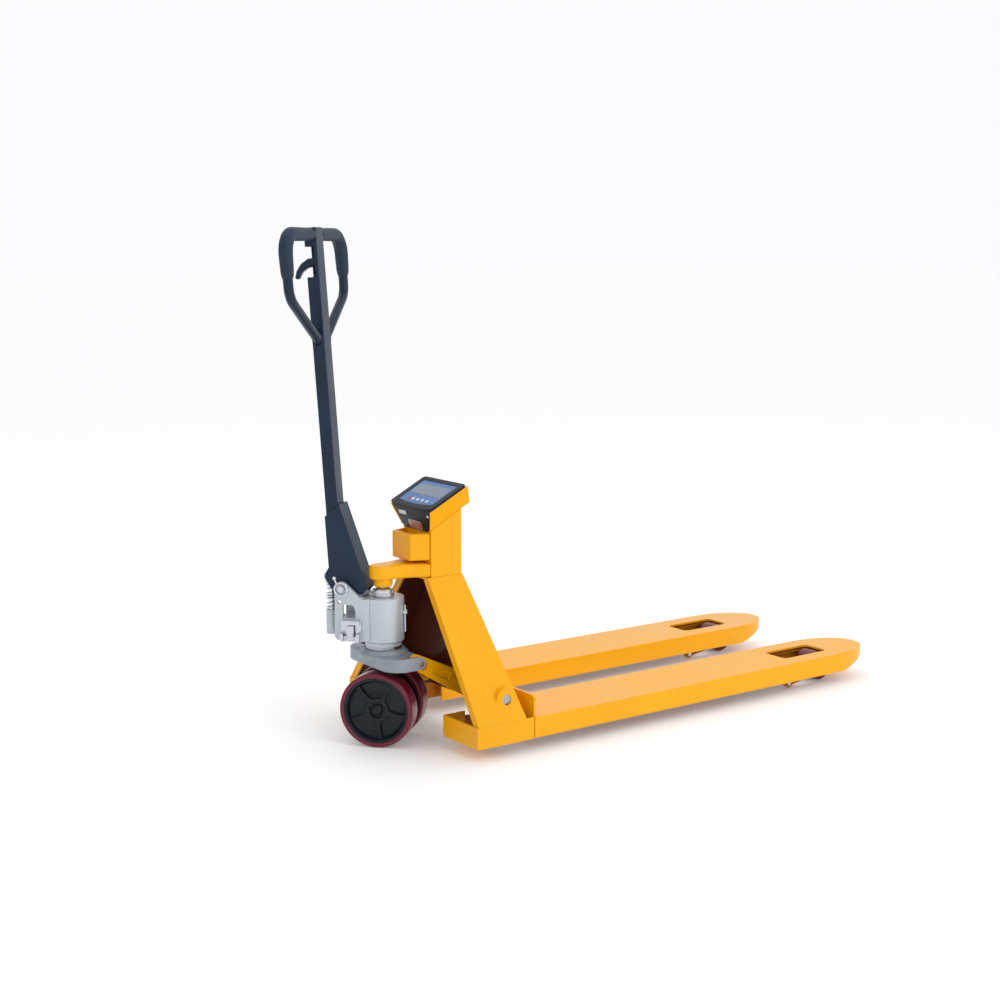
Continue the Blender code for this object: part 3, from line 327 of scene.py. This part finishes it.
# %% Rounding and smoothing
def smoothing_nodes():
    group = bpy.data.node_groups.new("smooth_by_angle", "GeometryNodeTree")
    group.interface.new_socket("Geometry", in_out="INPUT", socket_type="NodeSocketGeometry")
    group.interface.new_socket("Geometry", in_out="OUTPUT", socket_type="NodeSocketGeometry")
    enter = group.nodes.new("NodeGroupInput")
    leave = group.nodes.new("NodeGroupOutput")
    drop = group.nodes.new("GeometryNodeRemoveAttribute")
    drop.inputs["Name"].default_value = "custom_normal"
    faces = group.nodes.new("GeometryNodeSetShadeSmooth")
    faces.domain = "FACE"
    edges = group.nodes.new("GeometryNodeSetShadeSmooth")
    edges.domain = "EDGE"
    angle = group.nodes.new("GeometryNodeInputMeshEdgeAngle")
    small = group.nodes.new("FunctionNodeCompare")
    small.operation = "LESS_EQUAL"
    small.inputs["B"].default_value = math.radians(38)
    group.links.new(enter.outputs[0], drop.inputs["Geometry"])
    group.links.new(drop.outputs["Geometry"], faces.inputs["Geometry"])
    group.links.new(faces.outputs["Geometry"], edges.inputs["Geometry"])
    group.links.new(angle.outputs["Unsigned Angle"], small.inputs["A"])
    group.links.new(small.outputs["Result"], edges.inputs["Shade Smooth"])
    group.links.new(edges.outputs["Geometry"], leave.inputs[0])
    return group


smooth_by_angle = smoothing_nodes()


def softened(node, mat, width=0.8, segments=2):
    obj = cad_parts[node]
    obj.data.materials.clear()
    obj.data.materials.append(mat)
    weld = obj.modifiers.new("weld", "WELD")
    weld.merge_threshold = 0.00002
    if width:
        edge = obj.modifiers.new("edge", "BEVEL")
        edge.width = width * 0.001
        edge.segments = segments
        edge.limit_method = "ANGLE"
        edge.angle_limit = math.radians(38)
    shade = obj.modifiers.new("shade", "NODES")
    shade.node_group = smooth_by_angle
    flat = obj.modifiers.new("flat", "WEIGHTED_NORMAL")
    flat.keep_sharp = True
    return obj


SIDES = ("right", "left")
looks = {"frame": (frame_painted_shade, 1.2), "column": (yellow, 0.9), "cradle": (yellow, 0.5),
         "printer_box": (yellow, 0.6), "base_shaft": (steel, 0.5),
         "indicator_housing": (black_plastic, 0.8), "indicator_bezel": (black_plastic, 0.6),
         "keypad": (film, 0.0), "display": (window, 0.0), "battery": (black_plastic, 1.0),
         "crosshead": (grey_iron, 1.2), "axle_carrier": (grey_iron, 1.0),
         "steer_axle": (steel, 0.5), "pump": (enamel, 1.2), "oil_plug": (zinc, 0.4),
         "valve_bracket": (zinc, 0.6), "valve_lever": (zinc, 0.8), "handle_pin": (zinc, 0.8),
         "yoke": (dark_coat, 1.0), "press_roller": (steel, 0.6), "shaft": (dark_coat, 0.0),
         "release_lever": (dark_coat, 0.8), "thrust_bearing": (steel, 0.5)}
for side in SIDES:
    looks[f"weigh_shell_{side}"] = (yellow, 0.0)
    looks[f"lower_fork_{side}"] = (yellow_painted_shade, 0.5)
    looks[f"foot_{side}"] = (yellow, 1.2)
    looks[f"lift_arm_{side}"] = (yellow, 0.8)
    looks[f"roller_fork_{side}"] = (yellow_painted_shade, 0.5)
    looks[f"load_cell_{side}_1"] = (steel, 0.5)
    looks[f"load_cell_{side}_2"] = (steel, 0.5)
    looks[f"roller_fork_pin_{side}"] = (zinc, 0.6)
    looks[f"roller_axle_{side}"] = (zinc, 0.6)
    looks[f"push_rod_{side}"] = (steel, 0.5)
    looks[f"link_pin_{side}"] = (zinc, 0.8)
for node, (mat, width) in looks.items():
    softened(node, mat, width)
print("CAD pieces kept:", len(looks))

# %% [markdown]
# ## Three ways to make a new piece
# Most machine parts are turned, cut from a thick plate, or bent from a tube. The three helpers
# below follow those trades. Each makes its mesh in millimetres in one of the local frames and
# `placed_piece` moves it into the truck, gives it a finish and hangs it on its body.

# %% Piece helpers
def placed_piece(name, bm, at, body, mat, replaces=(), sharp=38):
    bmesh.ops.remove_doubles(bm, verts=bm.verts, dist=0.0005)
    bmesh.ops.recalc_face_normals(bm, faces=bm.faces)
    bmesh.ops.transform(bm, matrix=at, verts=bm.verts)
    mesh = bpy.data.meshes.new(name)
    bm.to_mesh(mesh)
    bm.free()
    mesh.shade_smooth()
    mesh.set_sharp_from_angle(angle=math.radians(sharp))
    obj = bpy.data.objects.new(name, mesh)
    bpy.context.scene.collection.objects.link(obj)
    obj.data.materials.append(mat)
    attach(obj, body)
    if replaces:
        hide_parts(*replaces)
    return obj


def lathe(bm, profile, steps=72, at=Matrix.Identity(4), closed=False):
    """Spin (radius, height) points round Z; closed joins the last point to the first."""
    verts = [bm.verts.new(at @ Vector((r, 0, z))) for r, z in profile]
    pairs = list(zip(verts, verts[1:]))
    if closed:
        pairs.append((verts[-1], verts[0]))
    edges = [bm.edges.new(pair) for pair in pairs]
    axis = at.to_3x3() @ Vector((0, 0, 1))
    bmesh.ops.spin(bm, geom=verts + edges, cent=at.to_translation(), axis=axis,
                   angle=2 * math.pi, steps=steps, use_merge=True)
    return bm


def slab(bm, outline, low, high, edge=0.0, segments=3, at=Matrix.Identity(4)):
    """A flat outline of (x, y) points, raised from low to high, with its rims rounded."""
    part = bmesh.new()
    face = part.faces.new([part.verts.new((x, y, low)) for x, y in outline])
    top = bmesh.ops.extrude_face_region(part, geom=[face])
    raised = [item for item in top["geom"] if isinstance(item, bmesh.types.BMVert)]
    bmesh.ops.translate(part, vec=(0, 0, high - low), verts=raised)
    bmesh.ops.recalc_face_normals(part, faces=part.faces)
    if edge:
        rims = [e for e in part.edges if abs(e.verts[0].co.z - e.verts[1].co.z) < 0.001]
        bmesh.ops.bevel(part, geom=rims, offset=edge, segments=segments, profile=0.5,
                        affect="EDGES", clamp_overlap=True)
    bmesh.ops.transform(part, matrix=at, verts=part.verts)
    add_to(bm, part)
    return bm


def add_to(bm, part):
    mesh = bpy.data.meshes.new("step")
    part.to_mesh(mesh)
    part.free()
    bm.from_mesh(mesh)
    bpy.data.meshes.remove(mesh)


def pipe(bm, points, radius, radii=None, resolution=6, closed=False):
    """A round bar along 3D points; radii scales it point by point."""
    curve = bpy.data.curves.new("pipe", "CURVE")
    curve.dimensions = "3D"
    curve.bevel_depth = radius
    curve.bevel_resolution = resolution
    curve.use_fill_caps = True
    line = curve.splines.new("POLY")
    line.points.add(len(points) - 1)
    for index, point in enumerate(points):
        line.points[index].co = (*point, 1)
        line.points[index].radius = radii[index] if radii else 1.0
    line.use_cyclic_u = closed
    obj = bpy.data.objects.new("pipe", curve)
    bpy.context.scene.collection.objects.link(obj)
    graph = bpy.context.evaluated_depsgraph_get()
    mesh = bpy.data.meshes.new_from_object(obj.evaluated_get(graph))
    bm.from_mesh(mesh)
    bpy.data.objects.remove(obj)
    bpy.data.meshes.remove(mesh)
    return bm


def arc(x, y, radius, start, end, steps=12):
    turns = [math.radians(start + (end - start) * step / steps) for step in range(steps + 1)]
    return [(x + radius * math.cos(a), y + radius * math.sin(a)) for a in turns]


print("helpers ready")

# %% [markdown]
# ## Steering wheels
# Each wheel is a tread of cast polyurethane bonded to a nylon centre. The tread is a turned
# ring with rounded shoulders. The centre is turned too, as a shallow dish, and then five ribs
# run out from the hub. A rib is thicker at both ends, where a mould leaves a fillet, so it is
# drawn as a waisted outline and raised from the dish.

# %% Wheels
FORK_Y = 197.5
ROLLER_X, ROLLER_Z = 1190, 38
RIBS, FIRST_RIB = 5, -12


def wheel_tread(side):
    bm = bmesh.new()
    shoulder = [(79.2, 24.2), (80, 25), (84.5, 25)] + arc(85, 20, 5, 90, 0, 6)
    profile = shoulder + [(r, -z) for r, z in reversed(shoulder)]
    lathe(bm, profile, 112, closed=True)
    placed_piece(f"tyre_{side}", bm, WHEEL[side], f"wheel_{side}", tread_finish,
                 [f"wheel_tread_{side}"])


def wheel_dish(side):
    bm = bmesh.new()
    cap = arc(0, 8, 12.4, 90, 18, 10)
    cap = [(x, 14 + (y - 8) * 0.62) for x, y in cap]
    hub = [(12.5, 15), (13.5, 14), (14.5, 10.5), (19, 10), (20, 14.5), (22, 15.5), (26.5, 15.5),
           (28, 14.5), (29.5, 8.5), (33, 6.5)]
    rim = [(62, 5.5), (66, 6.5), (69, 10), (71.5, 20), (73, 22.5), (75, 23.2), (78.6, 23.2)]
    rear = [(78.6, -23), (75, -23), (72, -20), (69, -10), (62, -7), (33, -8), (28, -20.5),
            (13, -20.5), (12, -10), (0, -10)]
    lathe(bm, cap + hub + rim + rear, 112)
    for index in range(RIBS):
        waist = [(27, 8), (31, 5), (38, 3.2), (55, 2.8), (64, 3.8), (70.5, 7)]
        outline = waist + [(x, -y) for x, y in reversed(waist)]
        spoke = turn(FIRST_RIB + 360 / RIBS * index, "Z")
        slab(bm, outline, 0, 14, 1.4, 2, spoke)
    placed_piece(f"wheel_dish_{side}", bm, WHEEL[side], f"wheel_{side}", nylon,
                 [f"wheel_centre_{side}"])


def load_roller(side):
    bm = bmesh.new()
    half = [(9, 33.5), (10, 34.6), (31, 34.8), (34, 34)] + arc(34.5, 29.5, 3.5, 70, 0, 5)
    lathe(bm, half + [(r, -z) for r, z in reversed(half)], 80, closed=True)
    y = FORK_Y if side == "left" else -FORK_Y
    placed_piece(f"roller_{side}", bm, TRUCK @ shift(ROLLER_X, y, ROLLER_Z) @ turn(90, "X"),
                 f"load_roller_{side}", tread_finish, [f"load_roller_{side}"])


for side in SIDES:
    wheel_tread(side)
    wheel_dish(side)
    load_roller(side)
print("wheels and rollers made")

# %% [markdown]
# ## Ram, gland nut and horn
# The ram is a hard-chromed rod: a plain turned piece with a small chamfer. It leaves the pump
# through a notched gland nut. The horn above is a thick casting with generous round edges; a
# plate outline with a wide bevel gives that, and its cup for the ram is turned.

# %% Ram and horn
bm = bmesh.new()
lathe(bm, [(0, 383.7), (10.5, 383.7), (11.5, 382.5), (12, 376), (17.2, 374), (18, 373),
           (18, 259), (17, 258), (0, 258)])
placed_piece("ram_rod", bm, AT_RAM, "chassis", chrome, ["ram"])

bm = bmesh.new()
lathe(bm, [(18.4, 372), (19.4, 373), (22, 373), (24, 371), (24, 364), (26, 363), (26, 355.5),
           (25, 354.4), (18.4, 354.4)], closed=True)
for index in range(6):
    notch = [(23.4, -3.4), (26.2, -3), (26.2, 3), (23.4, 3.4)]
    slab(bm, notch, 363.2, 370.5, 0.7, 2, turn(60 * index, "Z"))
placed_piece("gland_ring", bm, STEER, "steer", zinc, ["gland_nut"])


def horn_outline():
    near = [(24.4, -57.5), (13.5, -57.5), (2, -49), (-10, -42), (-25, -36.5), (-40, -33),
            (-60, -31.2)]
    far = [(x, -y) for x, y in reversed(near)]
    return near + arc(-76, 0, 31, 268, 92, 28) + far


bm = bmesh.new()
slab(bm, horn_outline(), 396.3, 430, 7.5, 5)
lathe(bm, [(0, 399), (23, 399), (23, 383), (22.4, 381), (20, 378.5), (16, 377.5), (14, 380),
           (13, 384), (0, 384)], 72, shift(RAM_X, 0, 0))
placed_piece("horn_casting", bm, TRUCK, "chassis", yellow, ["horn"])
print("ram, gland and horn made")

# %% [markdown]
# ## Pull handle
# The loop is one steel tube bent at four corners and welded to the shaft. Its two rubber
# sleeves are thickest in the middle of the palm and slim down towards their ends, so the pipe
# helper gets a radius for each point of the path.

# %% Handle loop and grips
LOOP_X, LOOP_HALF, LOOP_TOP, LOOP_FOOT = -16.0, 192.0, 832.0, 588.3
LOOP_BEND = 48
TUBE_RADIUS, GRIP_RADIUS = 11.4, 16.4
PALM = 0.31


def bend(points, radius, steps=14):
    path = [Vector(points[0])]
    for before, corner, after in zip(points, points[1:], points[2:]):
        corner = Vector(corner)
        inward = (Vector(before) - corner).normalized()
        outward = (Vector(after) - corner).normalized()
        half = inward.angle(outward) / 2
        centre = corner + (inward + outward).normalized() * (radius / math.sin(half))
        start = (corner + inward * (radius / math.tan(half)) - centre).normalized()
        end = (corner + outward * (radius / math.tan(half)) - centre).normalized()
        path += [centre + start.slerp(end, step / steps) * radius for step in range(steps + 1)]
    path.append(Vector(points[-1]))
    return path


def even(points, spacing=6.0):
    """The same path with extra points on its long straight runs."""
    dense = [points[0]]
    for a, b in zip(points, points[1:]):
        count = max(1, int((b - a).length / spacing))
        dense += [a.lerp(b, step / count) for step in range(1, count + 1)]
    return dense


bm = bmesh.new()
for sign in (1, -1):
    leg = [(LOOP_X, sign * 25.2, LOOP_FOOT), (LOOP_X, sign * LOOP_HALF, 690),
           (LOOP_X, sign * LOOP_HALF, LOOP_TOP), (LOOP_X, sign * 25.2, LOOP_TOP)]
    pipe(bm, bend(leg, LOOP_BEND), TUBE_RADIUS)
    for height, reach in ((LOOP_FOOT, 27.5), (LOOP_TOP, 26.6)):
        bead = [(LOOP_X + 12.4 * math.cos(a), sign * reach, height + 12.4 * math.sin(a) * 1.1)
                for a in [math.radians(15 * step) for step in range(24)]]
        pipe(bm, bead, 2.0, resolution=2, closed=True)
placed_piece("handle_loop", bm, HANDLE, "handle", dark_coat, ["loop_tube"])

for side, sign in (("right", -1), ("left", 1)):
    path = even(bend([(LOOP_X, sign * LOOP_HALF, 733), (LOOP_X, sign * LOOP_HALF, LOOP_TOP),
                      (LOOP_X, sign * 26.5, LOOP_TOP)], LOOP_BEND))
    count = len(path) - 1
    radii = []
    for index in range(count + 1):
        along = index / count
        if along < PALM:
            swell = 0.84 + 0.16 * math.sin(math.pi * along * 1.6) ** 0.6
        else:
            swell = 1.0 - 0.10 * (along - PALM)
        lip = 0.1 * max(0, 1 - index / 1.5)
        radii.append(swell - lip)
    bm = bmesh.new()
    pipe(bm, path, GRIP_RADIUS, radii, 8)
    placed_piece(f"palm_grip_{side}", bm, HANDLE, "handle", grip_rubber,
                 [f"grip_{side}"])
print("handle loop and grips made")

# %% [markdown]
# ## Pump details
# The return spring is a helix of round wire whose end turns close up; it rides on the plunger,
# which goes down 47 mm. The ring clip is a bent wire ring with a ball on its tail. Both are pipes
# along points worked out from an angle.

# %% Spring, plunger and clip
bm = bmesh.new()
coils, wire, low, high = 7, 1.7, 316.8, 379.6
points = []
for step in range(coils * 24 + 1):
    angle = 2 * math.pi * step / 24
    along = step / (coils * 24)
    eased = along - 0.035 * math.sin(4 * math.pi * along)
    height = low + wire + (high - low - 2 * wire) * max(0, min(1, eased))
    points.append((12.2 * math.cos(angle), 12.2 * math.sin(angle), height))
pipe(bm, points, wire, resolution=4)
AT_PLUNGER = STEER @ shift(-129, 0, 0)
spring = placed_piece("return_spring", bm, AT_PLUNGER, "plunger", zinc,
                      ["plunger_spring"])
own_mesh(spring)

bm = bmesh.new()
lathe(bm, [(0, 387.7), (11.5, 387.7), (14, 386.6), (15, 385), (15, 381.2), (14, 380.2),
           (8, 379.9), (8, 309.6), (7.4, 309), (0, 309)])
placed_piece("plunger_rod", bm, AT_PLUNGER, "plunger", chrome,
             ["plunger"])

bm = bmesh.new()
ring = [(-89 + 15.5 * math.cos(a), -50.5, 376 + 15.5 * math.sin(a))
        for a in [math.radians(7.5 * step) for step in range(48)]]
pipe(bm, ring, 2.3, resolution=4, closed=True)
tail = [(-98, -50.5, 387), (-101, -50.8, 392), (-103.5, -51, 398)]
pipe(bm, tail, 1.8, resolution=4)
lathe(bm, [(0, 4.6)] + arc(0, 0, 4.6, 80, -80, 12) + [(0, -4.6)], 24, shift(-104.5, -51, 402))
placed_piece("clip_ring", bm, STEER, "steer", chrome, ["ring_clip"])
print("spring, plunger and clip made")

# %% [markdown]
# ## Indicator face
# The indicator's front film carries a row of small keys and a row of marker dots under the
# display. Real film is printed and slightly domed over each key, so each key is a thin pillow.
# Below the face the moulding slopes back as a wedge. Its two stickers are blank here: one plain
# white, one silver with a simple block pattern.

# %% Keys and stickers
def block(bm, xs, ys, low, high, edge=0.0):
    slab(bm, [(xs[0], ys[0]), (xs[1], ys[0]), (xs[1], ys[1]), (xs[0], ys[1])], low, high, edge, 2)


bm = bmesh.new()
for y in (22, 2, -18, -38):
    key = arc(3.2, 3.6, 1.4, 0, 90, 3) + arc(-3.2, 3.6, 1.4, 90, 180, 3)
    key += arc(-3.2, -3.6, 1.4, 180, 270, 3) + arc(3.2, -3.6, 1.4, 270, 360, 3)
    slab(bm, key, 5.0, 5.7, 0.35, 2, shift(27, y, 0))
slab(bm, arc(0, 0, 1.8, 0, 330, 11), 5.0, 5.4, 0.1, 1, shift(27, -60, 0))
placed_piece("white_keys", bm, FACE, "chassis", white_print)
bm = bmesh.new()
slab(bm, arc(0, 0, 5.0, 0, 345, 23), 5.0, 5.8, 0.35, 2, shift(27, 40, 0))
placed_piece("red_key", bm, FACE, "chassis", red_print)
bm = bmesh.new()
for y in (7, -11, -29, -47, -65):
    slab(bm, arc(0, 0, 1.5, 0, 330, 11), 5.0, 5.4, 0.1, 1, shift(45.4, y, 0))
placed_piece("marker_dots", bm, FACE, "chassis", amber_print)

bm = bmesh.new()
front = [(0.4, 79), (56.5, 52), (56.5, -52), (0.4, -79)]
behind = [(0.6, 78.5, -1), (3.6, 51, -47.5), (3.6, -51, -47.5), (0.6, -78.5, -1)]
corners = [PANEL @ Vector((x, y, 0)) for x, y in front] + [FACE @ Vector(p) for p in behind]
bmesh.ops.convex_hull(bm, input=[bm.verts.new(corner) for corner in corners])
bmesh.ops.bevel(bm, geom=bm.edges[:], offset=0.0009, segments=2, profile=0.5, affect="EDGES",
                clamp_overlap=True)
placed_piece("indicator_wedge", bm, Matrix.Identity(4), "chassis", black_plastic)
bm = bmesh.new()
block(bm, (12, 22), (-60, -28), -0.1, 0.25)
block(bm, (11, 17), (66, 72), -0.1, 1.6, 0.5)
placed_piece("white_labels", bm, PANEL, "chassis", white_print)
bm = bmesh.new()
block(bm, (33, 54.5), (-26, 30), -0.1, 0.2)
placed_piece("silver_sticker", bm, PANEL, "chassis", silver_print)
bm = bmesh.new()
for low, high, left, right in ((35, 39, -23, 0), (35, 39, 4, 12), (42, 44, -23, 8),
                               (46, 48, -23, 14), (50, 52, -23, 2), (36, 51, 17, 27)):
    block(bm, (low, high), (left, right), 0.1, 0.3)
placed_piece("sticker_blocks", bm, PANEL, "chassis", red_print)
print("keys, wedge and stickers made")

# %% [markdown]
# ## Light, floor and camera
# A big softbox stands on the near side, a weak one lifts the front, and a bright pale room
# gives the glossy paint something to reflect. The room is darker ahead of the truck, so its
# front faces stay deeper in tone than its sides. The floor is plain and pale.

# %% Stage and camera
def softbox(name, place, aim, size, power):
    light = bpy.data.lights.new(name, "AREA")
    light.shape = "RECTANGLE"
    light.size, light.size_y = size
    light.energy = power
    obj = bpy.data.objects.new(name, light)
    obj.location = place
    obj.rotation_euler = (Vector(aim) - Vector(place)).to_track_quat("-Z", "Y").to_euler()
    bpy.context.scene.collection.objects.link(obj)
    return obj


softbox("key_light", (0.6, -4.2, 3.2), (0, 0, 0.4), (3.2, 2.4), 42)
softbox("front_light", (-4.5, -1.0, 2.6), (-0.4, 0, 0.5), (2.4, 2.0), 8)
softbox("top_light", (0.4, 1.2, 4.2), (0, 0, 0.2), (3.5, 3.0), 16)

room = bpy.data.worlds.new("pale_room")
bpy.context.scene.world = room
room.use_nodes = True
nodes, links = room.node_tree.nodes, room.node_tree.links
nodes["Background"].inputs["Color"].default_value = (0.98, 0.985, 1.0, 1)
towards = nodes.new("ShaderNodeTexCoord")
split = nodes.new("ShaderNodeSeparateXYZ")
fade = nodes.new("ShaderNodeMapRange")
fade.inputs["From Min"].default_value = -1.0
fade.inputs["From Max"].default_value = -0.25
fade.inputs["To Min"].default_value = 0.35
fade.inputs["To Max"].default_value = 0.98
links.new(towards.outputs["Generated"], split.inputs["Vector"])
links.new(split.outputs["X"], fade.inputs["Value"])
links.new(fade.outputs["Result"], nodes["Background"].inputs["Strength"])

bm = bmesh.new()
bmesh.ops.create_grid(bm, x_segments=2, y_segments=2, size=60)
bmesh.ops.translate(bm, vec=(0, 0, -0.0005), verts=bm.verts)
floor_mesh = bpy.data.meshes.new("studio_floor")
bm.to_mesh(floor_mesh)
bm.free()
floor = bpy.data.objects.new("studio_floor", floor_mesh)
bpy.context.scene.collection.objects.link(floor)
floor_finish = finish_of("studio_floor", (0.93, 0.93, 0.93), (0.95, 0.95, 0.95), 0.7, 0.05,
                         tone=0.01, wear=0.0, bump=0.02, grain_scale=30)
floor_shader = floor_finish.node_tree.nodes["Principled BSDF"]
floor_shader.inputs["Emission Color"].default_value = (1, 1, 1, 1)
floor_shader.inputs["Emission Strength"].default_value = 0.14
floor.data.materials.append(floor_finish)

camera = bpy.data.objects.new("studio_camera", bpy.data.cameras.new("studio_camera"))
bpy.context.scene.collection.objects.link(camera)
camera.location = (-2.5990, -3.2689, 1.1818)
camera.rotation_euler = (math.radians(81.15), 0, math.radians(-35.83))
camera.data.lens = 59.07
camera.data.sensor_width = 36
bpy.context.scene.camera = camera
bpy.context.scene.view_settings.view_transform = "Standard"
print("camera and lights set")
